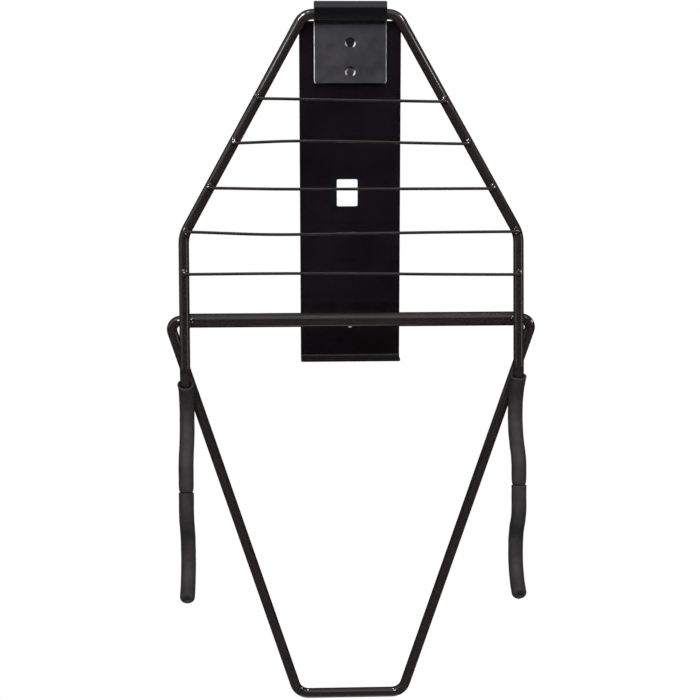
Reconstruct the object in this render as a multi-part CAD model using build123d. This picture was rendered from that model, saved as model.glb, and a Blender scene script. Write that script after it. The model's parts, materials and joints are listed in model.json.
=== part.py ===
"""Folding wall rack for two bicycles, drawn folded against the wall.

The wall is the plane y = 0 and the rack stands in front of it, towards -Y.  The origin is on the wall,
half way between the two wall screws.  A wall plate carries a looped strap; the carrier, one bent rod, turns
in that loop, and a brace turns in a tube welded to the back of the carrier.  Sizes are in millimetres.
"""

import os
from math import acos, asin, cos, degrees, radians, sin, sqrt, tan

from build123d import *

# Wall plate
plate_width = 100.0
plate_thickness = 2.5
plate_top_corner = 2.5
plate_edge_round = 0.5
screw_spacing = 280.0
screw_hole = 7.0
lip_depth = 20.0
lip_bend_inside = 3.0
lip_corner = 2.5
plate_top_below_hinge = 6.2
lip_below_screw = 32.7
upper_screw_below_hinge = 27.2

# Blank label film on the plate
label_side = 34.0
label_corner = 1.5
label_film = 0.2
label_left_of_middle = 2.9
label_below_hinge = 174.1

# Hinge strap
strap_width = 71.0
strap_thickness = 2.0
strap_edge_round = 0.6
loop_slack = 5.1
flap_below_rivet = 11.5
flap_tilt = 2.0
flap_corner = 2.0
flap_bend_inside = 3.0
flap_hole_room = 0.2
flap_hole_rim = 1.3
leaf_shortfall = 2.0
leaf_gap = 0.1

# Strap rivet
rivet_below_hinge = 54.8
rivet_shank = 4.8
rivet_head = 7.4
rivet_head_height = 2.0
rivet_head_round = 0.8
rivet_tail = 8.0
rivet_clearance = 0.05

# Carrier rod
rod_diameter = 10.3
hinge_clearance = 0.35
strap_end_play = 1.15
arm_half_spacing = 163.6
knee_below_hinge = 213.6
bar_bend = 15.0
knee_bend = 30.0

# Hooks: each has two dips towards the wall
dip_angle = 52.0
dip_shoulder_bend = 24.0
dip_valley_bend = 40.0
dips_below_tube = 46.8
hump_length = 36.0
tip_angle = 60.0
tip_length = 6.3
tip_chamfer = 1.2

# Foam sleeves
foam_wall = 2.15
foam_bore_clearance = 0.1
foam_to_brace = 1.0
foam_bare_angle = 31.0
foam_joint_gap = 0.6
foam_overhang = 1.2

# Shelf wires
wire_diameter = 2.6
wire_count = 5
first_wire_below_hinge = 83.5
wire_pitch = 42.2
wire_overrun = 1.5

# Pivot tube and brace
tube_wall = 1.55
tube_overrun = 2.9
tube_below_hinge = 296.9
pivot_clearance = 0.3
brace_length = 408.6
brace_outside_arm = 16.4
brace_bar_half = 54.8
brace_top_bend = 9.0
brace_bar_bend = 15.0
brace_insert = 45.0
wall_clearance = 0.5

# Welds
wire_weld_radius = 2.4
wire_weld_length = 6.0
tube_weld_radius = 3.0
tube_weld_length = 8.0
weld_contact_gap = 0.02

# Places that follow from those sizes
rod_radius = rod_diameter / 2
foam_radius = rod_radius + foam_bore_clearance + foam_wall
tube_radius = rod_radius + pivot_clearance + tube_wall
tube_half_length = arm_half_spacing + tube_overrun
wire_radius = wire_diameter / 2
hinge_z = screw_spacing / 2 + upper_screw_below_hinge
lip_below_hinge = upper_screw_below_hinge + screw_spacing + lip_below_screw
flap_length = rivet_below_hinge + flap_below_rivet
flap_hole = rivet_head + 2 * flap_hole_room
dips_below_hinge = tube_below_hinge + dips_below_tube
brace_top_half = arm_half_spacing + brace_outside_arm
leaf_front = plate_thickness + strap_thickness
hinge_y = -(leaf_front + hinge_clearance + rod_radius)
tube_behind = rod_radius + weld_contact_gap + tube_radius
wire_before = rod_radius + weld_contact_gap + wire_radius

# The bar's bends start just past the strap; half the turn there follows from the slant of the sides
bar_straight = strap_width / 2 + strap_end_play
slant_width = arm_half_spacing - bar_straight
slant_height = knee_below_hinge - 2 * bar_bend
half_turn = (sqrt(slant_width**2 + knee_below_hinge * slant_height) - slant_width) / slant_height
bar_half = bar_straight + bar_bend * half_turn

# Drawing plane across the arms, the two sides, and the turns of round pieces that stand or run across
frame_plane = Plane(origin=(0, 0, 0), x_dir=(1, 0, 0), z_dir=(0, 1, 0))
SIDES = {"left": -1, "right": 1}
upright = Rot(0, 0, 0)
level = Rot(0, 90, 0)

# How far a cut reaches past its face, and how near an edge lies to the place where it is looked for
past_face = 1.0
near_place = 0.5


def arm_plane(side):
    """Plane of one arm: x runs down the arm from the hinge, y towards the wall."""
    return Plane(origin=(side * arm_half_spacing, 0, 0), x_dir=(0, 0, -1), z_dir=(1, 0, 0))


def draw(start, heading, moves):
    """Follow straight runs (length) and bends (radius, degrees to the left) from a point; a flat wire."""
    edges = []
    point = Vector(*start)
    direction = Vector(1, 0).rotate(Axis.Z, heading)
    for move in moves:
        if isinstance(move, tuple):
            edge = JernArc(start=point, tangent=direction, radius=move[0], arc_size=move[1])
        else:
            edge = Line(point, point + direction * move)
        edges.append(edge)
        point = edge @ 1
        direction = edge % 1
    return Wire(edges)


def round_bar(path, radius):
    """Round section of a radius carried along a path."""
    return sweep(Plane(origin=path @ 0, z_dir=path % 0) * Circle(radius), path=path)


def sheet(path, thickness, width):
    """Sheet of a thickness along a path in the YZ plane, centred on x = 0."""
    section = Plane(origin=path @ 0, x_dir=(1, 0, 0), z_dir=path % 0) * Rectangle(width, thickness)
    return sweep(section, path=path)


def cross_hole(diameter, z, depth_from, depth_to):
    """Cylinder along Y at a height, between two distances from the wall."""
    length = depth_to - depth_from
    middle = -(depth_from + depth_to) / 2
    return Pos(0, middle, z) * Rot(90, 0, 0) * Cylinder(diameter / 2, length)


def on_side_plane(path):
    """Carry a flat drawing (x = distance from the wall, y = height) to the YZ plane."""
    return Plane(origin=(0, 0, 0), x_dir=(0, -1, 0), z_dir=(-1, 0, 0)) * path


def round_outline(solid, radius):
    """Round the edges where the broad faces of a bent sheet meet its narrow ones."""
    square = cos(radians(60))
    outline = []
    for edge in solid.edges():
        first, second = [face.normal_at(edge @ 0.5) for face in solid.faces() if edge in face.edges()]
        if abs(first.dot(second)) < square:
            outline.append(edge)
    return fillet(outline, radius)


def wall_plate():
    """Flat strip with a lip bent forward at its foot."""
    middle = plate_thickness / 2
    bend = lip_bend_inside + middle
    top = hinge_z - plate_top_below_hinge
    foot = hinge_z - lip_below_hinge - middle
    run = top - foot - bend
    reach = lip_depth - middle - bend
    path = on_side_plane(draw((middle, top), -90, [run, (bend, 90), reach]))
    plate = sheet(path, plate_thickness, plate_width)
    through_top = plate.edges().filter_by(Axis.Y)
    plate = fillet(through_top.filter_by(lambda edge: edge.center().Z > top - near_place), plate_top_corner)
    through_lip = plate.edges().filter_by(Axis.Z)
    plate = fillet(through_lip.filter_by(lambda edge: edge.center().Y < near_place - lip_depth), lip_corner)
    plate = round_outline(plate, plate_edge_round)
    rivet_z = hinge_z - rivet_below_hinge
    holes = {
        screw_spacing / 2: screw_hole,
        -screw_spacing / 2: screw_hole,
        rivet_z: rivet_shank + 2 * rivet_clearance,
    }
    for z, hole in holes.items():
        plate -= cross_hole(hole, z, -past_face, plate_thickness + past_face)
    plate -= Pos(0, 0, rivet_z) * rivet_flare(rivet_clearance)
    return plate


def rivet_flare(clearance):
    """Cone of the rivet's set end, flush with the wall face, grown by a clearance."""
    depth = (rivet_tail - rivet_shank) / 2
    low_end = (Align.CENTER, Align.CENTER, Align.MAX)
    cone = Cone(rivet_shank / 2 + clearance, rivet_tail / 2 + clearance, depth, align=low_end)
    return Rot(-90, 0, 0) * cone


def plate_label():
    """Thin square film on the front of the plate."""
    face = Plane.XZ * RectangleRounded(label_side, label_side, label_corner)
    film = extrude(face, label_film, dir=(0, -1, 0))
    return Pos(-label_left_of_middle, -plate_thickness, hinge_z - label_below_hinge) * film


def hinge_strap():
    """Strap: up behind the bar, over it, round under it and down as the flap."""
    middle = strap_thickness / 2
    leaf = plate_thickness + middle
    loop = rod_radius + hinge_clearance + middle
    flap_bend = flap_bend_inside + middle
    flap_offset = -hinge_y - (leaf_front + leaf_gap + middle)
    under = degrees(acos((flap_bend - flap_offset) / (loop + flap_bend)))
    leaf_run = flap_length - leaf_shortfall + loop_slack
    bend_drop = (loop + flap_bend) * sin(radians(under))
    flap_run = (flap_length - bend_drop) / cos(radians(flap_tilt))
    path = draw(
        (leaf, hinge_z - flap_length + leaf_shortfall),
        90,
        [leaf_run, (loop, -180), loop_slack, (loop, -under), (flap_bend, under + flap_tilt), flap_run],
    )
    strap = sheet(on_side_plane(path), strap_thickness, strap_width)
    foot = hinge_z - flap_length + leaf_shortfall + near_place
    short_edges = strap.edges().filter_by(lambda edge: edge.length < strap_thickness + near_place)
    strap = fillet(short_edges.filter_by(lambda edge: edge.center().Z < foot), flap_corner)
    strap = round_outline(strap, strap_edge_round)
    leaf_holes = {
        screw_spacing / 2: screw_hole,
        hinge_z - rivet_below_hinge: rivet_shank + 2 * rivet_clearance,
    }
    for z, leaf_hole in leaf_holes.items():
        strap -= cross_hole(leaf_hole, z, plate_thickness - past_face, leaf_front + leaf_gap)
        flap_back = leaf_front + leaf_gap + (hinge_z - z - bend_drop) * tan(radians(flap_tilt))
        flap_front = flap_back + strap_thickness
        strap -= cross_hole(flap_hole, z, (leaf_front + flap_back) / 2, flap_front + past_face)
        sink = Cone(flap_hole / 2, flap_hole / 2 + 2 * flap_hole_rim, 2 * flap_hole_rim)
        strap -= Pos(0, -flap_front, z) * Rot(90, 0, 0) * sink
    return strap


def strap_rivet():
    """Flat head on the leaf, shank through leaf and plate, flared end flush with the wall face."""
    from_end = (Align.CENTER, Align.CENTER, Align.MIN)
    forward = Rot(90, 0, 0)
    shank = forward * Cylinder(rivet_shank / 2, leaf_front, align=from_end)
    head = Pos(0, -leaf_front, 0) * forward * Cylinder(rivet_head / 2, rivet_head_height, align=from_end)
    head = fillet(head.edges().group_by(Axis.Y)[0], rivet_head_round)
    return Pos(0, 0, hinge_z - rivet_below_hinge) * (shank + head + rivet_flare(0))


def hook_moves():
    """Bends of one hook: first dip, the hump between the dips, second dip and the raised tip."""
    into = (dip_shoulder_bend, dip_angle)
    first = [into, (dip_valley_bend, -2 * dip_angle), into, hump_length]
    second = [into, (dip_valley_bend, -dip_angle - tip_angle), tip_length]
    return first, second


def carrier_rod():
    """Hinge bar, slanted sides and arms as one bend outline, with a hook at the end of each arm."""
    outline = FilletPolyline(
        (-arm_half_spacing, dips_below_hinge),
        (-arm_half_spacing, knee_below_hinge),
        (-bar_half, 0),
        (bar_half, 0),
        (arm_half_spacing, knee_below_hinge),
        (arm_half_spacing, dips_below_hinge),
        radius=[knee_bend, bar_bend, bar_bend, knee_bend],
    )
    carrier = round_bar(frame_plane * Wire(outline.edges()), rod_radius)
    first, second = hook_moves()
    for side in SIDES.values():
        path = arm_plane(side) * draw((dips_below_hinge, 0), 0, first + second)
        hook = round_bar(path, rod_radius)
        end_face = hook.faces().filter_by(GeomType.PLANE).sort_by_distance(path @ 1)[0]
        carrier += chamfer(end_face.edges(), tip_chamfer)
    return carrier


def sleeve_paths():
    """Centre lines of the inner and the outer sleeve, in the plane of an arm."""
    first, second = hook_moves()
    bare = draw((dips_below_hinge, 0), 0, [(dip_shoulder_bend, foam_bare_angle)])
    half_hump = (hump_length - foam_joint_gap) / 2
    inner_moves = [(dip_shoulder_bend, dip_angle - foam_bare_angle)] + first[1:-1] + [half_hump]
    inner = draw(tuple(bare @ 1)[:2], foam_bare_angle, inner_moves)
    start = inner @ 1 + Vector(foam_joint_gap, 0)
    outer = draw(tuple(start)[:2], 0, [half_hump] + second[:-1] + [tip_length + foam_overhang])
    return {"inner": inner, "outer": outer}


def foam_sleeve(path):
    """Foam tube along a stretch of the hook."""
    ring = Circle(foam_radius) - Circle(rod_radius + foam_bore_clearance)
    return sweep(Plane(origin=path @ 0, z_dir=path % 0) * ring, path=path)


def carrier_half_width(below_hinge):
    """Distance from the middle to the centre line of the carrier's side, at a distance below the hinge."""
    share = min(1.0, below_hinge / knee_below_hinge)
    return bar_half + (arm_half_spacing - bar_half) * share


def shelf_wire(below_hinge):
    """Straight wire across the front of the carrier."""
    half = carrier_half_width(below_hinge) + wire_overrun
    return Pos(0, -wire_before, -below_hinge) * level * Cylinder(wire_radius, 2 * half)


def cross_bar(radius, half_length):
    """Solid round bar on the pivot axis, across the back of both arms."""
    return Pos(0, tube_behind, -tube_below_hinge) * level * Cylinder(radius, 2 * half_length)


def pivot_tube():
    """Tube across the back of both arms."""
    bore = cross_bar(rod_radius + pivot_clearance, tube_half_length)
    return cross_bar(tube_radius, tube_half_length) - bore


def support_brace():
    """Rod with in-turned ends on the tube's axis, two converging legs and a short bar, in its own plane."""
    insert = tube_half_length - brace_insert
    outline = FilletPolyline(
        (-insert, 0),
        (-brace_top_half, 0),
        (-brace_bar_half, brace_length),
        (brace_bar_half, brace_length),
        (brace_top_half, 0),
        (insert, 0),
        radius=[brace_top_bend, brace_bar_bend, brace_bar_bend, brace_top_bend],
    )
    return round_bar(frame_plane * Wire(outline.edges()), rod_radius)


def hinge_at(tilt):
    """Place of the carrier on its hinge when its arms hang at a tilt from the wall."""
    return Location((0, hinge_y, hinge_z), (-tilt, 0, 0))


def brace_at(tilt):
    """Place of the brace at that tilt: it hangs from the tube until its bar meets the wall."""
    pivot = (hinge_at(tilt) * Pos(0, tube_behind, -tube_below_hinge)).position
    bar_depth = rod_radius + wall_clearance
    return Location(pivot, (degrees(asin((-pivot.Y - bar_depth) / brace_length)), 0, 0))


def foam_gap(tilt):
    """Gap between the sleeves and the brace's legs at that tilt."""
    leg = brace_at(tilt) * Edge.make_line((brace_top_half, 0, 0), (brace_bar_half, 0, -brace_length))
    sleeves = [hinge_at(tilt) * (arm_plane(1) * path) for path in sleeve_paths().values()]
    return min(leg.distance_to(sleeve) for sleeve in sleeves) - foam_radius - rod_radius


def folded_tilt():
    """Tilt of the folded carrier: the sleeves just clear the brace's legs."""
    low, high = 0.0, 45.0
    while high - low > 1e-6:
        middle = (low + high) / 2
        if foam_gap(middle) < foam_to_brace:
            low = middle
        else:
            high = middle
    return high


def weld_bead(place, turn, radius, length, *cutters):
    """Round bead of a length, turned from upright, cut to lie on the pieces that it joins."""
    bead = Pos(*place) * turn * Cylinder(radius, length)
    for cutter in cutters:
        bead -= cutter
    return bead


def shelf_welds(side, carrier, wires):
    """Beads over the ends of the wires, on one side of the carrier."""
    beads = []
    for below, wire in wires.items():
        end = (side * (carrier_half_width(below) + wire_overrun), -wire_before, -below)
        beads.append(weld_bead(end, level, wire_weld_radius, wire_weld_length, carrier, wire))
    return beads


def tube_welds(side, carrier, tube):
    """Beads in the corners between one arm and the tube: on the arm's inner side, above and below."""
    inner_x = side * (arm_half_spacing - rod_radius)
    inner = (inner_x, rod_radius - tube_weld_radius / 3, -tube_below_hinge)
    beads = [weld_bead(inner, upright, tube_weld_radius, tube_weld_length, carrier, tube)]
    level_length = 2 * min(tube_overrun, rod_radius - tube_weld_radius)
    for rise in (tube_radius, -tube_radius):
        corner_z = rise * 3 / 4 - tube_below_hinge
        corner = (side * arm_half_spacing, rod_radius + tube_weld_radius / 3, corner_z)
        beads.append(weld_bead(corner, level, tube_weld_radius, level_length, carrier, tube))
    return beads


os.makedirs("parts", exist_ok=True)
solids = {
    "wall_plate": wall_plate(),
    "plate_label": plate_label(),
    "hinge_strap": hinge_strap(),
    "strap_rivet": strap_rivet(),
}

fold_tilt = folded_tilt()
hinge = hinge_at(fold_tilt)
carrier = carrier_rod()
tube_outside = cross_bar(tube_radius, tube_half_length)
solids["carrier_rod"] = hinge * carrier
solids["pivot_tube"] = hinge * pivot_tube()

wires = {}
for number in range(wire_count):
    below = first_wire_below_hinge + number * wire_pitch
    wires[below] = shelf_wire(below)
    solids[f"shelf_wire_{number + 1}"] = hinge * wires[below]

for side_name, side in SIDES.items():
    for sleeve_name, path in sleeve_paths().items():
        solids[f"{side_name}_{sleeve_name}_sleeve"] = hinge * foam_sleeve(arm_plane(side) * path)
    solids[f"{side_name}_shelf_welds"] = hinge * Compound(children=shelf_welds(side, carrier, wires))
    solids[f"{side_name}_tube_welds"] = hinge * Compound(children=tube_welds(side, carrier, tube_outside))

brace_place = brace_at(fold_tilt)
solids["support_brace"] = brace_place * support_brace()

for name, solid in solids.items():
    export_step(solid, f"parts/{name}.step")
pivot = brace_place.position
brace_tilt = brace_place.orientation.X
print(f"hinge y {hinge_y:.4f} z {hinge_z:.4f}, tilt {fold_tilt:.4f}")
print(f"pivot y {pivot.Y:.4f} z {pivot.Z:.4f}, brace tilt {brace_tilt:.4f}")
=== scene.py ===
"""Looks of the folding bicycle wall rack: powder coat, foam sleeves, bent wires and weld beads.

Lengths are metres in the part's own frame: the wall is y = 0, the rack stands out towards -Y, +Z is up.
"""

import json
import math

import bmesh
import bpy
from mathutils import Matrix, Vector, noise


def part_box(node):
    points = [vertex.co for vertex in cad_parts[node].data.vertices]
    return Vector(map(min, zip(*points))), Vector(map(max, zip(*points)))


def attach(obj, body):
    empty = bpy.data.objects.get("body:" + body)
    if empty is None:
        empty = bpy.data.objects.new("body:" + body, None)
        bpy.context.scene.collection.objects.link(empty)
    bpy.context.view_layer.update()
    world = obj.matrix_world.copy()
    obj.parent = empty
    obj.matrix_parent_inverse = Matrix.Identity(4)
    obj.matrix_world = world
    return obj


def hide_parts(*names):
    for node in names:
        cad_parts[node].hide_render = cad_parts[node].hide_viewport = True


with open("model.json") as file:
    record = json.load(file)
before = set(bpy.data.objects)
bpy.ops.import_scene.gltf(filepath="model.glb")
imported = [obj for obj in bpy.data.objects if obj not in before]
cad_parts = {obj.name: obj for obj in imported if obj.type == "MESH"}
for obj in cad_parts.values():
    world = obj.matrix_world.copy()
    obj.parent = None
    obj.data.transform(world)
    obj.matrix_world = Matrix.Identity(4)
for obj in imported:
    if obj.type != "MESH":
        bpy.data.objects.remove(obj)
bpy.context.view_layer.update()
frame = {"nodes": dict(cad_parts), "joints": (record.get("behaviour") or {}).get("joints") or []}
cad_nodes = frame["nodes"]
joints = {joint["name"]: Vector(joint["pos_m"]) for joint in frame["joints"]}
hinge = joints["carrier_hinge"]
pivot = joints["brace_hinge"]
MM = 0.001
QUARTER_TURN = math.pi / 2
FULL_TURN = math.pi * 2
SIDES = {"left": -1, "right": 1}

# Sizes of the carrier that the foam, wires and beads follow
arm_half_spacing = 163.6 * MM
bar_half = 45.5 * MM
knee_below_hinge = 213.6 * MM
rod_radius = 5.15 * MM
tube_radius = 7.0 * MM
tube_below_hinge = 296.9 * MM
tube_behind = 12.17 * MM
dips_below_hinge = 343.7 * MM
dip_angle = math.radians(52.0)
dip_shoulder_bend = 24.0 * MM
dip_valley_bend = 40.0 * MM
hump_length = 36.0 * MM
tip_angle = math.radians(60.0)
tip_length = 6.3 * MM
first_wire_below_hinge = 83.5 * MM
wire_pitch = 42.2 * MM
wire_before = 6.47 * MM
wire_overrun = 1.5 * MM

# The carrier hangs at this tilt from the wall; the tube sits behind its arms
tilt = math.atan2(hinge.y - pivot.y, hinge.z - pivot.z) + math.atan2(tube_behind, tube_below_hinge)
carrier_place = Matrix.Translation(hinge) @ Matrix.Rotation(-tilt, 4, "X")


# Shader helpers

class Graph:
    """Node tree with short calls that add a node and return the socket of its result."""

    def __init__(self, tree):
        self.nodes = tree.nodes
        self.links = tree.links

    def feed(self, socket, value):
        """Link a socket to another one, or set it to a number, a vector or a colour."""
        if isinstance(value, bpy.types.NodeSocket):
            self.links.new(value, socket)
        elif socket.type == "RGBA":
            socket.default_value = (*value, 1.0)
        else:
            socket.default_value = value

    def add(self, kind, inputs=None, **settings):
        """New node with its settings; its inputs are sockets or constants, by name or by number."""
        node = self.nodes.new(f"ShaderNode{kind}")
        for name, value in settings.items():
            setattr(node, name, value)
        for key, value in (inputs or {}).items():
            self.feed(node.inputs[key], value)
        return node

    def point(self):
        """Point on the surface, in metres."""
        return self.add("TexCoord").outputs["Object"]

    def normal(self):
        """Way that the surface faces."""
        return self.add("NewGeometry").outputs["Normal"]

    def axis(self, vector, name):
        """One axis of a vector."""
        return self.add("SeparateXYZ", {"Vector": vector}).outputs[name]

    def noise(self, point, size, detail=2.0, roughness=0.5):
        """Noise whose lumps are about a size across."""
        inputs = {"Vector": point, "Scale": 1.0 / size, "Detail": detail, "Roughness": roughness}
        return self.add("TexNoise", inputs).outputs["Fac"]

    def spread(self, value, low, high, to_low=0.0, to_high=1.0):
        """A value's range carried to another range, held at its ends."""
        inputs = {"Value": value, "From Min": low, "From Max": high, "To Min": to_low, "To Max": to_high}
        return self.add("MapRange", inputs).outputs["Result"]

    def vary(self, noise_value, to_low, to_high):
        """Number between two values that follows a noise, most of which lies from 0.3 to 0.7."""
        return self.spread(noise_value, 0.3, 0.7, to_low, to_high)

    def combine(self, operation, first, second, clamp=False):
        """Result of an operation on two values."""
        node = self.add("Math", {0: first, 1: second}, operation=operation, use_clamp=clamp)
        return node.outputs["Value"]

    def product(self, first, second):
        """Two values multiplied."""
        return self.combine("MULTIPLY", first, second)

    def larger(self, first, second):
        """The larger of two values."""
        return self.combine("MAXIMUM", first, second)

    def two_tone(self, share, first, second):
        """Colour between two, each of them a colour or a socket."""
        inputs = {"Factor": share, "A": first, "B": second}
        return self.add("Mix", inputs, data_type="RGBA").outputs["Result"]

    def bump(self, height, depth, normal=None):
        """Normal after a bump of a depth in metres."""
        inputs = {"Height": height, "Distance": depth}
        if normal:
            inputs["Normal"] = normal
        return self.add("Bump", inputs).outputs["Normal"]

    def background_rays(self):
        """1 for rays that should see the white background."""
        path = self.add("LightPath").outputs
        seen = path["Is Camera Ray"]
        for other in ("Is Glossy Ray", "Is Transmission Ray"):
            seen = self.combine("ADD", seen, path[other], clamp=True)
        return seen


class Finish(Graph):
    """Graph of a new material with a Principled shader."""

    def __init__(self, name):
        self.material = bpy.data.materials.new(name)
        self.material.use_nodes = True
        super().__init__(self.material.node_tree)
        self.shader = self.nodes["Principled BSDF"]

    def surface(self, colour, roughness, normal=None):
        """Feed the shader's main sockets."""
        self.feed(self.shader.inputs["Base Color"], colour)
        self.feed(self.shader.inputs["Roughness"], roughness)
        if normal:
            self.feed(self.shader.inputs["Normal"], normal)

    def show(self, shader_socket):
        """Let another shader make the surface."""
        self.links.new(shader_socket, self.nodes["Material Output"].inputs["Surface"])


# Finishes; a pair of tones is the dark one and the pale one that a pattern mixes

plate_black = (0.0041, 0.0025, 0.0038), (0.013, 0.0095, 0.0125)
strap_black = (0.0219, 0.0207, 0.0258), (0.058, 0.054, 0.067)
rod_black = (0.0145, 0.011, 0.011), (0.024, 0.019, 0.019)
# The screw's black paint is darkened further as painted shade of the deep hole it sits in
screw_black_and_shade = (0.003, 0.002, 0.0015), (0.010, 0.007, 0.0055)
weld_black = (0.012, 0.009, 0.009)
# Painted highlights: a near-white tone for bright specks on the weld beads
weld_glint_tone = (0.85, 0.83, 0.81)
foam_black = (0.0150, 0.0128, 0.0139), (0.0330, 0.0290, 0.0311)
film_black = (0.004, 0.0035, 0.0045), (0.009, 0.008, 0.010)
vinyl_white = (0.88, 0.88, 0.88), (0.97, 0.97, 0.96)
# Painted highlights: a near-white tone on the strap's edges and hole rims, and one close to the plate's own
# tone on the plate's
plate_highlight_tone = (0.012, 0.010, 0.012)
strap_highlight_tone = (0.97, 0.95, 0.95)
knuckle_foot = hinge.z - 5.5 * MM
knuckle_fade = 5.0 * MM
knuckle_tone_share = 0.2
knuckle_roughness_share = 0.4
foam_specular = 0.35

# Detail and roughness of a smudge's noise
smudgy = (4.0, 0.6)


def dust_share(finish, point, smudge):
    """How dusty a coat is: soft smudges and small specks."""
    speck_size, speck_roughness = 1.6 * MM, 0.4
    smudge_range, smudge_most = (0.35, 0.70), 0.5
    speck_range, speck_most = (0.70, 0.76), 0.6
    specks = finish.noise(point, speck_size, 2.0, speck_roughness)
    return finish.larger(
        finish.spread(smudge, *smudge_range, 0.0, smudge_most),
        finish.spread(specks, *speck_range, 0.0, speck_most),
    )


def painted_highlight_share(finish, point):
    """Share of a painted highlight: along outer edges, most on the left, and low in the sunk rims of holes.
    """
    holes_within, edges_beyond = 15 * MM, 25 * MM
    edge_starts, edge_full, right_edge_most = 0.03, 0.12, 0.45
    left_rim, left_rim_most = (-0.55, -0.35), 0.8
    right_rim, right_rim_most = (0.45, 0.60), 0.4
    faces_up, faces_ahead = (-0.25, 0.10), (-0.15, -0.03)
    uneven_size, uneven_range, uneven_least = 5.0 * MM, (0.30, 0.50), 0.65
    # Painted highlights: on edges, strongest on the left, and as crescents on the up-facing rims of holes,
    # broken up by noise
    facing = finish.normal()
    sideways = finish.axis(facing, "X")
    place = finish.axis(point, "X")
    left_edge = finish.product(
        finish.spread(sideways, -edge_full, -edge_starts, 1.0, 0.0),
        finish.spread(place, -edges_beyond, -holes_within, 1.0, 0.0),
    )
    right_edge = finish.product(
        finish.spread(sideways, edge_starts, edge_full, 0.0, right_edge_most),
        finish.spread(place, holes_within, edges_beyond),
    )
    rims = finish.larger(
        finish.spread(sideways, *left_rim, left_rim_most, 0.0),
        finish.spread(sideways, *right_rim, 0.0, right_rim_most),
    )
    crescents = finish.product(rims, finish.spread(finish.axis(facing, "Z"), *faces_up))
    edges = finish.larger(left_edge, right_edge)
    ahead = finish.spread(finish.axis(facing, "Y"), *faces_ahead, 1.0, 0.0)
    uneven_share = finish.spread(finish.noise(point, uneven_size, 3.0), *uneven_range, uneven_least, 1.0)
    return finish.product(finish.product(finish.larger(edges, crescents), ahead), uneven_share)


def orange_peel(finish, point, size, depth):
    """Normal of a powder coat's slight waves."""
    return finish.bump(finish.noise(point, size, 1.0), depth)


def powder_coat(name, tones, smudge_size, rough, peel, edge=None):
    """Black powder coat: smudges, dust specks, orange peel of (size, depth), painted edge highlights of a
    tone.
    """
    finish = Finish(name)
    point = finish.point()
    smudge = finish.noise(point, smudge_size, *smudgy)
    coat = finish.two_tone(dust_share(finish, point, smudge), *tones)
    # Painted edge highlights in the given tone
    if edge:
        coat = finish.two_tone(painted_highlight_share(finish, point), coat, edge)
    finish.surface(coat, finish.vary(smudge, *rough), orange_peel(finish, point, *peel))
    return finish.material


def strap_coat():
    """Satin strap coat: painted highlights on edges, painted shade where it faces down; the knuckle over its
    foot is deep, clean and glossy.
    """
    smudge_size = 16 * MM
    peel_size, peel_depth = 2.0 * MM, 0.006 * MM
    rough = (0.30, 0.46)
    shade_faces_down = (-0.45, -0.15)
    colour, dusty = strap_black
    deep = tuple(knuckle_tone_share * value for value in colour)
    finish = Finish("strap_coat")
    point = finish.point()
    satin = finish.spread(finish.axis(point, "Z"), knuckle_foot - knuckle_fade, knuckle_foot, 1.0, 0.0)
    smudge = finish.noise(point, smudge_size, *smudgy)
    dust = finish.product(dust_share(finish, point, smudge), satin)
    coat = finish.two_tone(dust, finish.two_tone(satin, deep, colour), dusty)
    # Painted shade where the surface faces down, as in the upper walls of the holes
    painted_shade = finish.spread(finish.axis(finish.normal(), "Z"), *shade_faces_down, 1.0, 0.0)
    coat = finish.two_tone(painted_shade, coat, deep)
    # Painted highlights on the flap's edges and hole rims, not on the knuckle
    painted_highlight = finish.product(painted_highlight_share(finish, point), satin)
    coat = finish.two_tone(painted_highlight, coat, strap_highlight_tone)
    roughness = finish.product(
        finish.vary(smudge, *rough),
        finish.spread(satin, 0.0, 1.0, knuckle_roughness_share, 1.0),
    )
    finish.surface(coat, roughness, orange_peel(finish, point, peel_size, peel_depth))
    return finish.material


def weld_coat():
    """Gloss black over a bead: fine ripples and small bright specks of painted highlight."""
    glint_size, glint_range = 1.9 * MM, (0.60, 0.64)
    ripple_size, ripple_depth = 1.2 * MM, 0.03 * MM
    rough = (0.06, 0.20)
    finish = Finish("weld_coat")
    point = finish.point()
    # Painted highlights as bright specks where the noise is high
    painted_glints = finish.noise(point, glint_size, 1.0)
    colour = finish.two_tone(finish.spread(painted_glints, *glint_range), weld_black, weld_glint_tone)
    ripples = finish.noise(point, ripple_size)
    finish.surface(colour, finish.vary(painted_glints, *rough), finish.bump(ripples, ripple_depth))
    return finish.material


def foam_cells():
    """Closed-cell foam: fine cells, a slight bloom and scuffs, little gloss."""
    cell_size, cell_depth = 0.7 * MM, 0.10 * MM
    grain_size, grain_depth, grain_least = 0.9 * MM, 0.12 * MM, 0.4
    scuff_size = 14.0 * MM
    rough = (0.62, 0.86)
    finish = Finish("foam_cells")
    point = finish.point()
    cells = finish.add("TexVoronoi", {"Vector": point, "Scale": 1.0 / cell_size}).outputs["Distance"]
    scuff = finish.noise(point, scuff_size, *smudgy)
    grain = finish.noise(point, grain_size, 3.0, 0.6)
    bloom = finish.product(finish.vary(scuff, 0.0, 1.0), finish.vary(grain, grain_least, 1.0))
    pits = finish.bump(cells, cell_depth)
    finish.surface(
        finish.two_tone(bloom, *foam_black),
        finish.vary(grain, *rough),
        finish.bump(grain, grain_depth, pits),
    )
    finish.feed(finish.shader.inputs["Specular IOR Level"], foam_specular)
    return finish.material


def rippled_sheet(name, tones, size, detail, rough, depth):
    """Thin plastic sheet whose tone, gloss and surface follow one fine ripple."""
    finish = Finish(name)
    ripple = finish.noise(finish.point(), size, detail)
    finish.surface(finish.two_tone(ripple, *tones), finish.vary(ripple, *rough), finish.bump(ripple, depth))
    return finish.material


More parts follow.
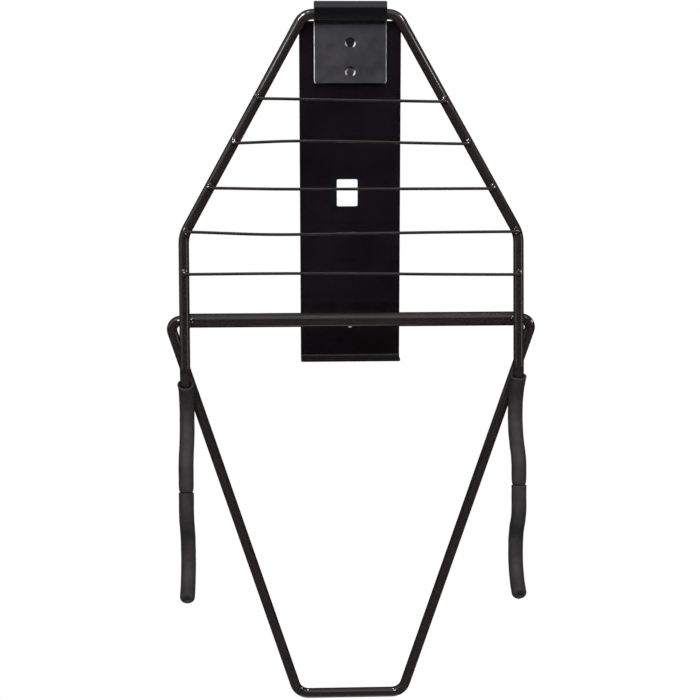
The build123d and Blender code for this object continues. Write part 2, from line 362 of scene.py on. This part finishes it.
plate_peel = (3.0 * MM, 0.003 * MM)
rod_peel = (4.0 * MM, 0.0012 * MM)
screw_peel = (1.2 * MM, 0.004 * MM)
plate_rough = (0.10, 0.18)
rod_rough = (0.05, 0.08)
screw_rough = (0.30, 0.40)
film_rough = (0.10, 0.20)
vinyl_rough = (0.35, 0.50)
plate_paint = powder_coat("plate_coat", plate_black, 60 * MM, plate_rough, plate_peel, plate_highlight_tone)
strap_paint = strap_coat()
rod_paint = powder_coat("rod_coat", rod_black, 25 * MM, rod_rough, rod_peel)
weld_paint = weld_coat()
screw_paint = powder_coat("screw_coat", screw_black_and_shade, 3 * MM, screw_rough, screw_peel)
foam = foam_cells()
film = rippled_sheet("black_film", film_black, 9.0 * MM, detail=2.0, rough=film_rough, depth=0.05 * MM)
vinyl = rippled_sheet("white_vinyl", vinyl_white, 1.2 * MM, detail=3.0, rough=vinyl_rough, depth=0.02 * MM)


# Mesh helpers

def make_piece(name, points, faces, material, body, replaced=()):
    """Mesh piece, faces outwards, in a material, that rides on a body and stands for CAD nodes."""
    mesh = bpy.data.meshes.new(name)
    mesh.from_pydata(points, [], faces)
    turned = bmesh.new()
    turned.from_mesh(mesh)
    bmesh.ops.recalc_face_normals(turned, faces=turned.faces)
    if turned.calc_volume(signed=True) < 0:
        bmesh.ops.reverse_faces(turned, faces=turned.faces)
    turned.to_mesh(mesh)
    turned.free()
    mesh.shade_smooth()
    mesh.materials.append(material)
    piece = bpy.data.objects.new(name, mesh)
    bpy.context.scene.collection.objects.link(piece)
    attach(piece, body)
    if replaced:
        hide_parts(*replaced)
    return piece


def dress(material, *names):
    """Give CAD nodes a material."""
    for name in names:
        mesh = cad_nodes[name].data
        mesh.materials.clear()
        mesh.materials.append(material)


def ring_faces(rings, turns, closed=False):
    """Faces between rings of points; a closed tube comes back to its first ring."""
    faces = []
    for ring in range(rings if closed else rings - 1):
        here, after = ring * turns, (ring + 1) % rings * turns
        for count in range(turns):
            beside = (count + 1) % turns
            faces.append((here + count, here + beside, after + beside, after + count))
    return faces


def cap_faces(rings, turns):
    """Faces that close the first and the last ring."""
    last = (rings - 1) * turns
    return [tuple(range(turns)), tuple(range(last, last + turns))]


# Foam sleeves

foam_wall = 2.15 * MM
foam_clearance = 0.1 * MM
foam_bore = rod_radius + foam_clearance
foam_radius = foam_bore + foam_wall
foam_bare_angle = math.radians(31.0)
foam_joint_gap = 0.6 * MM
foam_overhang = 1.2 * MM
mouth_corner = 0.9 * MM
end_settle = 3.0 * MM
foam_turns = 56
rim_steps = 8
station_step = 1.0 * MM
bore_step = 3.0 * MM
lump_length = 9.0 * MM
lump_scale = 0.9
lump_height = 0.14 * MM
crease_length = 1.9 * MM
crease_scale = 0.7
crease_wander = 1.5
crease_height = 0.10 * MM
foam_seed_step = 3.7

# Each end's flare, taper, outer corner and hole; a hole of 0 leaves the bore open
loose_end = (0.75 * MM, 0.0, 0.9 * MM, 0.0)
pressed_end = (0.0, 0.7 * MM, 0.9 * MM, 0.0)
square_end = (0.05 * MM, 0.0, 0.9 * MM, 0.0)
closed_tip = (0.0, 0.0, 3.0 * MM, 2.4 * MM)
sleeve_ends = {"inner": (loose_end, pressed_end), "outer": (square_end, closed_tip)}
mouth_slips = {"left": 3.5 * MM, "right": -3.5 * MM}
joint_slips = {"left": 2.0 * MM, "right": -2.0 * MM}


def hook_route(moves, start, heading):
    """Stations (x down the arm, y to the wall, heading, turn) along runs and (radius, turn) bends."""
    route = []
    x, y = start
    for move in moves:
        radius, turn = move if isinstance(move, tuple) else (None, 0.0)
        length = radius * abs(turn) if radius else move
        steps = max(1, round(length / station_step))
        for _ in range(steps):
            route.append((x, y, heading, turn))
            middle = heading + turn / steps / 2
            x += length / steps * math.cos(middle)
            y += length / steps * math.sin(middle)
            heading += turn / steps
    route.append((x, y, heading, 0.0))
    return route


def sleeve_routes(mouth_slip, joint_slip):
    """Routes of the inner and the outer sleeve along a hook, slipped a little down the rod."""
    shoulder = (dip_shoulder_bend, dip_angle)
    valley = (dip_valley_bend, -2 * dip_angle)
    half_hump = (hump_length - foam_joint_gap) / 2
    bare_angle = foam_bare_angle + mouth_slip / dip_shoulder_bend
    x = dips_below_hinge + dip_shoulder_bend * math.sin(bare_angle)
    y = dip_shoulder_bend * (1 - math.cos(bare_angle))
    first = [(dip_shoulder_bend, dip_angle - bare_angle), valley, shoulder, half_hump + joint_slip]
    inner = hook_route(first, (x, y), bare_angle)
    start = (inner[-1][0] + foam_joint_gap, inner[-1][1])
    tip_bend = (dip_valley_bend, -dip_angle - tip_angle)
    last = [half_hump - joint_slip, shoulder, tip_bend, tip_length + foam_overhang]
    return {"inner": inner, "outer": hook_route(last, start, 0.0)}


def rim_profile(flare, taper, corner, hole):
    """Rounded end of a sleeve as (distance from the end, radius) from skin to bore; a hole narrows it."""
    outer = foam_radius + flare - taper
    bore = foam_bore + flare
    mouth = hole or bore
    rim = [(corner, outer)]
    for step in range(1, rim_steps + 1):
        angle = step / rim_steps * QUARTER_TURN
        rim.append((corner * (1 - math.sin(angle)), outer - corner * (1 - math.cos(angle))))
    for step in range(rim_steps + 1):
        angle = step / rim_steps * QUARTER_TURN
        rim.append((mouth_corner * (1 - math.cos(angle)), mouth + mouth_corner * (1 - math.sin(angle))))
    if hole:
        rim += [(foam_overhang, mouth), (foam_overhang, bore)]
    return rim


def skin_relief(across, deep, distance, turn, seed):
    """Height of the foam's lumps, and of its creases on the inside of a bend."""
    spot = Vector((across, deep, distance / lump_length)) * lump_scale + Vector((seed, 0, 0))
    inside = max(0.0, deep * math.copysign(1, turn)) if turn else 0.0
    crease = math.sin(distance / crease_length + crease_wander * noise.noise(spot * crease_scale))
    return lump_height * noise.noise(spot) + crease_height * crease * inside ** 2


def foam_sleeve(name, side, route, ends, seed):
    """Closed foam tube: skin along the route, rounded rims, bore back again."""
    (start_flare, start_taper, *_), (end_flare, end_taper, *_) = ends
    start_rim, end_rim = [rim_profile(*end) for end in ends]
    lengths = [0.0]
    for (x0, y0, _, _), (x1, y1, _, _) in zip(route, route[1:]):
        lengths.append(lengths[-1] + math.hypot(x1 - x0, y1 - y0))
    total = lengths[-1]

    def ring(distance, radius, skin=False):
        """Ring of points round the route at a distance along it."""
        nearest = min(range(len(lengths)), key=lambda index: abs(lengths[index] - distance))
        x, y, heading, turn = route[nearest]
        ahead = distance - lengths[nearest]
        x += ahead * math.cos(heading)
        y += ahead * math.sin(heading)
        points = []
        for count in range(foam_turns):
            angle = count / foam_turns * FULL_TURN
            across, deep = math.cos(angle), math.sin(angle)
            reach = radius + (skin_relief(across, deep, distance, turn, seed) if skin else 0.0)
            local = Vector((
                side * arm_half_spacing + across * reach,
                y + deep * reach * math.cos(heading),
                -(x - deep * reach * math.sin(heading)),
            ))
            points.append(carrier_place @ local)
        return points

    def swell(distance, start_change, end_change):
        """Change of a radius that dies away from both ends."""
        near = math.exp(-distance / end_settle)
        far = math.exp(-(total - distance) / end_settle)
        return start_change * near + end_change * far

    rings = [ring(depth, radius) for depth, radius in reversed(start_rim)]
    skin_start = start_rim[0][0]
    skin_length = total - skin_start - end_rim[0][0]
    skin_steps = round(skin_length / station_step)
    for step in range(1, skin_steps):
        distance = skin_start + step / skin_steps * skin_length
        change = swell(distance, start_flare - start_taper, end_flare - end_taper)
        rings.append(ring(distance, foam_radius + change, skin=True))
    rings += [ring(total - depth, radius) for depth, radius in end_rim]
    bore_length = total - 2 * foam_overhang
    bore_steps = round(total / bore_step)
    for step in range(1, bore_steps):
        distance = total - foam_overhang - step / bore_steps * bore_length
        rings.append(ring(distance, foam_bore + swell(distance, start_flare, end_flare)))
    points = [point for one in rings for point in one]
    faces = ring_faces(len(rings), foam_turns, closed=True)
    piece = make_piece(f"{name}_foam", points, faces, foam, "carrier", (f"{name}_sleeve",))
    return piece


foam_pieces = []
for side_name, side in SIDES.items():
    for sleeve_name, route in sleeve_routes(mouth_slips[side_name], joint_slips[side_name]).items():
        name = f"{side_name}_{sleeve_name}"
        seed = len(name) * foam_seed_step
        foam_pieces.append(foam_sleeve(name, side, route, sleeve_ends[sleeve_name], seed))


# Shelf wires, each bent a little: millimetres over its line at five even places from left to right

wire_radius = 1.45 * MM
wire_turns = 20
wire_steps = 60
wire_cap_steps = 6
wire_bends = {
    1: (1.4, 0.7, -0.4, -1.1, -1.9),
    2: (0.6, 2.5, 2.0, 0.5, -0.6),
    3: (-0.4, -1.6, -1.8, -1.8, -1.8),
    4: (-0.5, -3.3, -2.9, -2.0, -1.6),
    5: (0.7, 1.0, 0.6, -0.6, -1.3),
}


def along(values, share):
    """Smooth value at a share of the way through values at even places."""
    place = share * (len(values) - 1)
    index = min(int(place), len(values) - 2)
    ahead = place - index
    before, here = values[max(index - 1, 0)], values[index]
    after, beyond = values[index + 1], values[min(index + 2, len(values) - 1)]
    cubic = 3 * (here - after) + beyond - before
    square = 2 * before - 5 * here + 4 * after - beyond
    return here + ahead / 2 * (after - before + ahead * (square + ahead * cubic))


def carrier_half_width(below_hinge):
    """Distance from the middle to the carrier's side, at a distance below the hinge."""
    share = min(1.0, below_hinge / knee_below_hinge)
    return bar_half + (arm_half_spacing - bar_half) * share


def wire_below(number):
    """Distance of a wire below the hinge."""
    return first_wire_below_hinge + (number - 1) * wire_pitch


def bent_wire(number, bends):
    """Round-ended wire across the carrier, raised by its bends."""
    half = carrier_half_width(wire_below(number)) + wire_overrun
    cap = []
    for step in range(1, wire_cap_steps + 1):
        angle = step / wire_cap_steps * QUARTER_TURN
        cap.append((wire_radius * (1 - math.cos(angle)) - half, wire_radius * math.sin(angle)))
    inner = half - wire_radius
    middle = [((2 * step / wire_steps - 1) * inner, wire_radius) for step in range(1, wire_steps)]
    stations = cap + middle + [(-x, radius) for x, radius in reversed(cap)]
    points = []
    for x, radius in stations:
        height = along(bends, (x + half) / (2 * half)) * MM - wire_below(number)
        for count in range(wire_turns):
            angle = count / wire_turns * FULL_TURN
            local = Vector((x, radius * math.sin(angle) - wire_before, radius * math.cos(angle) + height))
            points.append(carrier_place @ local)
    faces = ring_faces(len(stations), wire_turns) + cap_faces(len(stations), wire_turns)
    replaced = (f"shelf_wire_{number}",)
    make_piece(f"bent_wire_{number}", points, faces, rod_paint, "carrier", replaced)


for number, bends in wire_bends.items():
    bent_wire(number, bends)


# Weld beads, placed in the carrier's own frame

bead_turns = 28
bead_rows = 18
bead_lump_share = 0.20
bead_lump_fineness = 1.6
bead_ripple_share = 0.10
bead_ripple_fineness = 4.5
wire_bead = (2.9 * MM, 2.0 * MM, 3.4 * MM)
wire_bead_inward = 2.2 * MM
wire_bead_behind = 0.8 * MM
wire_bead_up = 1.6 * MM
wire_bead_seed_step = 2.3
tube_bead = (2.6 * MM, 2.6 * MM, 4.2 * MM)
tube_bead_seed = 5.1
level_bead = (3.4 * MM, 2.2 * MM, 2.2 * MM)
level_bead_rise = 0.75
level_bead_seed = 7.7

# The tube's beads lie this far before or behind the back of the arms
bead_offset = 1.0 * MM


def bead_shape(place, size, seed):
    """Lumpy round bead with ripples, as points and faces."""
    middle = Vector(place)
    points = []
    for row in range(1, bead_rows):
        tall = math.pi * row / bead_rows
        for count in range(bead_turns):
            angle = count / bead_turns * FULL_TURN
            way = Vector((math.sin(tall) * math.cos(angle), math.sin(tall) * math.sin(angle), math.cos(tall)))
            lump = bead_lump_share * noise.noise(way * bead_lump_fineness + Vector((seed, 0, 0)))
            ripple = bead_ripple_share * noise.noise(way * bead_ripple_fineness + Vector((0, seed, 0)))
            points.append(middle + way * Vector(size) * (1 + lump + ripple))
    rings = bead_rows - 1
    top, foot = len(points), len(points) + 1
    points += [middle + Vector((0, 0, size[2])), middle - Vector((0, 0, size[2]))]
    faces = ring_faces(rings, bead_turns)
    last = (rings - 1) * bead_turns
    for count in range(bead_turns):
        beside = (count + 1) % bead_turns
        faces.append((top, count, beside))
        faces.append((foot, last + beside, last + count))
    return [carrier_place @ point for point in points], faces


def bead_piece(name, beads, replaced):
    """Several beads as one piece."""
    points, faces = [], []
    for place, size, seed in beads:
        more_points, more_faces = bead_shape(place, size, seed)
        base = len(points)
        points += more_points
        faces += [tuple(base + index for index in face) for face in more_faces]
    make_piece(name, points, faces, weld_paint, "carrier", (replaced,))


for side_name, side in SIDES.items():
    beads = []
    for number, bends in wire_bends.items():
        below = wire_below(number)
        end = side * (carrier_half_width(below) + wire_overrun - wire_bead_inward)
        end_rise = (bends[0] if side < 0 else bends[-1]) * MM
        place = (end, wire_bead_behind - wire_before, wire_bead_up + end_rise - below)
        beads.append((place, wire_bead, (number - 1) * wire_bead_seed_step + side))
    bead_piece(f"{side_name}_shelf_beads", beads, f"{side_name}_shelf_welds")
    inner = (side * (arm_half_spacing - rod_radius), rod_radius - bead_offset, -tube_below_hinge)
    beads = [(inner, tube_bead, tube_bead_seed + side)]
    for rise in (tube_radius, -tube_radius):
        place = (side * arm_half_spacing, rod_radius + bead_offset, rise * level_bead_rise - tube_below_hinge)
        beads.append((place, level_bead, level_bead_seed + rise / MM))
    bead_piece(f"{side_name}_tube_beads", beads, f"{side_name}_tube_welds")


# Wall screw in the strap's upper hole

screw_height = 140.0 * MM
strap_thickness = 2.0 * MM
screw_turns = 48
head_steps = 12
head_radius = 3.6 * MM
head_height = 1.3 * MM
head_crown = 0.6
shank_radius = 2.9 * MM
cross_radius = 2.4 * MM
cross_half_width = 0.55 * MM
cross_depth = 0.9 * MM
cross_steepness = 4


def wall_screw():
    """Pan-head screw that sits on the strap's rear leaf inside the flap's hole and ends at the wall plane."""
    leaf_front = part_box("hinge_strap")[1].y - strap_thickness
    profile = []
    for step in range(1, head_steps + 1):
        angle = step / head_steps * QUARTER_TURN
        height = head_height * math.cos(angle) ** head_crown
        profile.append((leaf_front - height, head_radius * math.sin(angle)))
    profile += [(leaf_front, shank_radius), (0.0, shank_radius)]
    points = []
    for depth, radius in profile:
        for count in range(screw_turns):
            angle = count / screw_turns * FULL_TURN
            x, z = radius * math.cos(angle), radius * math.sin(angle)
            dip = 0.0
            if min(abs(x), abs(z)) < cross_half_width:
                dip = cross_depth * max(0.0, 1 - (radius / cross_radius) ** cross_steepness)
            points.append((x, depth + dip, screw_height + z))
    faces = ring_faces(len(profile), screw_turns) + cap_faces(len(profile), screw_turns)
    make_piece("upper_wall_screw", points, faces, screw_paint, "wall_unit")


wall_screw()


# Blank white patch on the film

patch_half_width = 10.3 * MM
patch_half_height = 13.4 * MM
patch_corner = 1.6 * MM
patch_corner_steps = 6
patch_thickness = 0.12 * MM


def blank_patch():
    """Thin blank vinyl patch with round corners, on the film's front."""
    low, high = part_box("plate_label")
    middle = (low + high) / 2
    outline = []
    for quarter, (x_side, z_side) in enumerate(((1, 1), (-1, 1), (-1, -1), (1, -1))):
        for step in range(patch_corner_steps + 1):
            angle = (quarter + step / patch_corner_steps) * QUARTER_TURN
            outline.append((
                middle.x + x_side * (patch_half_width - patch_corner) + patch_corner * math.cos(angle),
                middle.z + z_side * (patch_half_height - patch_corner) + patch_corner * math.sin(angle),
            ))
    points = [(x, y, z) for y in (low.y, low.y - patch_thickness) for x, z in outline]
    faces = ring_faces(2, len(outline)) + cap_faces(2, len(outline))
    patch = make_piece("blank_patch", points, faces, vinyl, "wall_unit")
    patch.data.shade_flat()


blank_patch()


# Finish of the CAD nodes

dress(plate_paint, "wall_plate")
dress(film, "plate_label")
dress(strap_paint, "hinge_strap", "strap_rivet")
dress(rod_paint, "carrier_rod", "pivot_tube", "support_brace")


# Floor

pure_white = (1.0, 1.0, 1.0)
floor_tone = (0.93, 0.93, 0.93)
floor_roughness = 0.9
floor_height = -0.75
floor_half = 4.0
fade_start = 0.22
fade_end = 0.44


def stage_piece(name, points, faces, material):
    """Mesh that is not part of the object."""
    mesh = bpy.data.meshes.new(name)
    mesh.from_pydata(points, [], faces)
    mesh.materials.append(material)
    piece = bpy.data.objects.new(name, mesh)
    bpy.context.scene.collection.objects.link(piece)
    return piece


def floor_finish():
    """Pale floor that fades to the white background away from the rack."""
    finish = Finish("pale_floor")
    finish.surface(floor_tone, floor_roughness)
    white = finish.add("Emission")
    away = finish.add("VectorMath", {0: finish.point()}, operation="LENGTH").outputs["Value"]
    faded = finish.product(finish.spread(away, fade_start, fade_end), finish.background_rays())
    shaders = {1: finish.shader.outputs["BSDF"], 2: white.outputs["Emission"]}
    finish.show(finish.add("MixShader", {"Fac": faded, **shaders}).outputs["Shader"])
    return finish.material


floor_corners = [(x * floor_half, y * floor_half, 0) for x, y in ((-1, -1), (1, -1), (1, 1), (-1, 1))]
floor = stage_piece("floor", floor_corners, [(0, 1, 2, 3)], floor_finish())
floor.location.z = floor_height


# Cards that show only in gloss; bearings are degrees from straight ahead, minus to the left

card_radius = 2.2
strip_radius = 2.15
card_lift = 0.01
card_foot = floor_height + card_lift
card_hole = 0.12
bowl_top = 1.07
flag_top = 2.4
card_step = 6
bowl_edge = 97
dome_steps = 12
dome_fade = 0.75
dark = 0.03
bowl = [(card_hole, card_foot), (card_radius, card_foot), (card_radius, bowl_top)]
dome = bowl[:2]
for step in range(dome_steps + 1):
    climb = step / dome_steps * QUARTER_TURN
    dome.append((card_radius * math.cos(climb), card_radius * math.sin(climb)))


def gloss_card(name, bearings, profile, level, top_level=None):
    """Curved card from a profile of (radius, height); it may change to another level at its top."""
    finish = Finish(name)
    height = finish.axis(finish.point(), "Z")
    glow = finish.spread(height, dome_fade * card_radius, card_radius, level, top_level or level)
    finish.show(finish.add("Emission", {"Strength": glow}).outputs["Emission"])
    first, last = bearings
    steps = math.ceil((last - first) / card_step)
    points, faces = [], []
    for step in range(steps + 1):
        angle = math.radians(first + (last - first) * step / steps)
        points += [(radius * math.sin(angle), -radius * math.cos(angle), z) for radius, z in profile]
    row = len(profile)
    for step in range(steps):
        for index in range(row - 1):
            here = step * row + index
            faces.append((here, here + row, here + row + 1, here + 1))
    card = stage_piece(name, points, faces, finish.material)
    for kind in ("camera", "diffuse", "transmission", "shadow", "volume_scatter"):
        setattr(card, f"visible_{kind}", False)


# A dark bowl with a paler foot stands before the rack and a dark dome behind it. In the bowl are a grey strip
# on the left and a narrow bright one on the right, and a grey flag stands over its right side
left_strip = [(strip_radius, -0.25), (strip_radius, bowl_top)]
right_strip = [(strip_radius, -0.20), (strip_radius, 0.50)]
right_flag = [(card_radius, bowl_top), (card_radius, flag_top)]
gloss_card("bowl_foot", (-bowl_edge, bowl_edge), bowl[:2], level=0.13)
gloss_card("bowl_front", (-bowl_edge, bowl_edge), bowl[1:], level=dark)
gloss_card("dome_behind", (bowl_edge, 360 - bowl_edge), dome, level=dark, top_level=0.7)
gloss_card("strip_left", (-bowl_edge, -47), left_strip, level=0.57)
gloss_card("strip_right", (59, 74), right_strip, level=2.2)
gloss_card("flag_right", (35, bowl_edge), right_flag, level=0.4)


# Lamps: place, width and height, and power in watts, all aimed at the rack's middle

rack_middle = Vector((0.0, -0.04, -0.18))
plate_pieces = [cad_nodes["wall_plate"]]
rod_pieces = [cad_nodes["carrier_rod"]]
brace_pieces = [cad_nodes["support_brace"]]
small = (0.2, 0.2)

# Broad lamps light the rack and do not show in gloss
broad_lamps = {
    "key_left": ((-1.6, -1.2, 0.9), (0.8, 0.8), 5.0),
    "key_right": ((1.6, -1.2, 0.9), (0.8, 0.8), 3.5),
    "fill_top": ((0.0, -1.45, 1.15), (1.2, 1.2), 33.5),
    "key_back": ((0.6, 1.7, 0.9), (1.0, 1.0), 20.0),
}

# Glints show in gloss alone, on the pieces named last or, with none named, on all of them
glints = {
    "back_sheen": ((0.0, 1.7, -0.42), (3.6, 0.6), 2.4, plate_pieces),
    "foam_sheen": ((0.0, -1.45, 1.15), (1.2, 0.4), 41.0, foam_pieces),
    "glint_left": ((-1.10, -1.20, 1.15), (0.30, 0.14), 1.8, []),
    "glint_right": ((1.19, -1.20, 1.10), (0.30, 0.14), 2.0, []),
    "bend_left_low": ((-0.97, -1.20, 1.32), small, 7.0, rod_pieces),
    "bend_left_mid": ((-0.82, -1.17, 1.45), small, 11.0, rod_pieces),
    "bend_left_high": ((-0.68, -1.07, 1.61), small, 30.0, rod_pieces),
    "bend_left_top": ((-0.36, -0.80, 1.86), small, 5.0, rod_pieces),
    "bend_right_low": ((1.16, -1.02, 1.32), small, 6.0, rod_pieces),
    "bend_right_mid": ((1.10, -0.82, 1.52), small, 10.0, rod_pieces),
    "elbow_left": ((-0.55, -1.64, 0.75), (0.45, 0.15), 20.0, brace_pieces),
    "elbow_right": ((1.60, 0.075, 0.315), (0.15, 0.35), 7.0, brace_pieces),
    "corner_left": ((0.305, 0.08, 1.19), small, 14.0, brace_pieces),
    "corner_right": ((-0.30, 0.08, 1.19), small, 14.0, brace_pieces),
}


def lamp(name, place, size, power):
    """Flat lamp aimed at the rack."""
    light = bpy.data.lights.new(name, "AREA")
    light.shape = "RECTANGLE"
    light.size, light.size_y = size
    light.energy = power
    holder = bpy.data.objects.new(name, light)
    holder.location = place
    holder.rotation_euler = (rack_middle - Vector(place)).to_track_quat("-Z", "Y").to_euler()
    bpy.context.scene.collection.objects.link(holder)
    return holder


for name, settings in broad_lamps.items():
    lamp(name, *settings).visible_glossy = False
for name, (*settings, pieces) in glints.items():
    glint = lamp(name, *settings)
    glint.visible_diffuse = False
    if pieces:
        lit = bpy.data.collections.new(f"{name}_lit")
        for piece in pieces:
            lit.objects.link(piece)
        glint.light_linking.receiver_collection = lit


# World: soft light that is strongest from above and ahead, and a white background

sky_way = (0.0, -0.45, 0.893)
sky_range = (-0.6, 0.8)
sky_dark = 0.01
sky_bright = 0.28
world = bpy.data.worlds.new("studio")
bpy.context.scene.world = world
world.use_nodes = True
sky = Graph(world.node_tree)
direction = sky.add("TexCoord").outputs["Generated"]
climb = sky.add("VectorMath", {0: direction, 1: sky_way}, operation="DOT_PRODUCT").outputs["Value"]
sky_level = sky.spread(climb, *sky_range, sky_dark, sky_bright)
ambient = sky.nodes["Background"]
sky.feed(ambient.inputs["Color"], pure_white)
sky.feed(ambient.inputs["Strength"], sky_level)
backdrop = sky.add("Background", {"Color": pure_white})
skies = {1: ambient.outputs["Background"], 2: backdrop.outputs["Background"]}
world_mix = sky.add("MixShader", {"Fac": sky.background_rays(), **skies})
sky.links.new(world_mix.outputs["Shader"], sky.nodes["World Output"].inputs["Surface"])


# Camera at the photograph's viewpoint

camera_place = Vector((-0.0649, -1.5966, 0.1446))
camera_right = math.radians(2.329)
camera_down = math.radians(11.038)
focal_pixels = 1600.0
frame_pixels = 700.0
camera_data = bpy.data.cameras.new("camera")
camera_data.sensor_width = 36.0
camera_data.lens = camera_data.sensor_width * focal_pixels / frame_pixels
camera = bpy.data.objects.new("camera", camera_data)
camera.location = camera_place
forward = Vector((
    math.sin(camera_right) * math.cos(camera_down),
    math.cos(camera_right) * math.cos(camera_down),
    -math.sin(camera_down),
))
camera.rotation_euler = forward.to_track_quat("-Z", "Y").to_euler()
bpy.context.scene.collection.objects.link(camera)
bpy.context.scene.camera = camera
bpy.context.scene.view_settings.view_transform = "Standard"
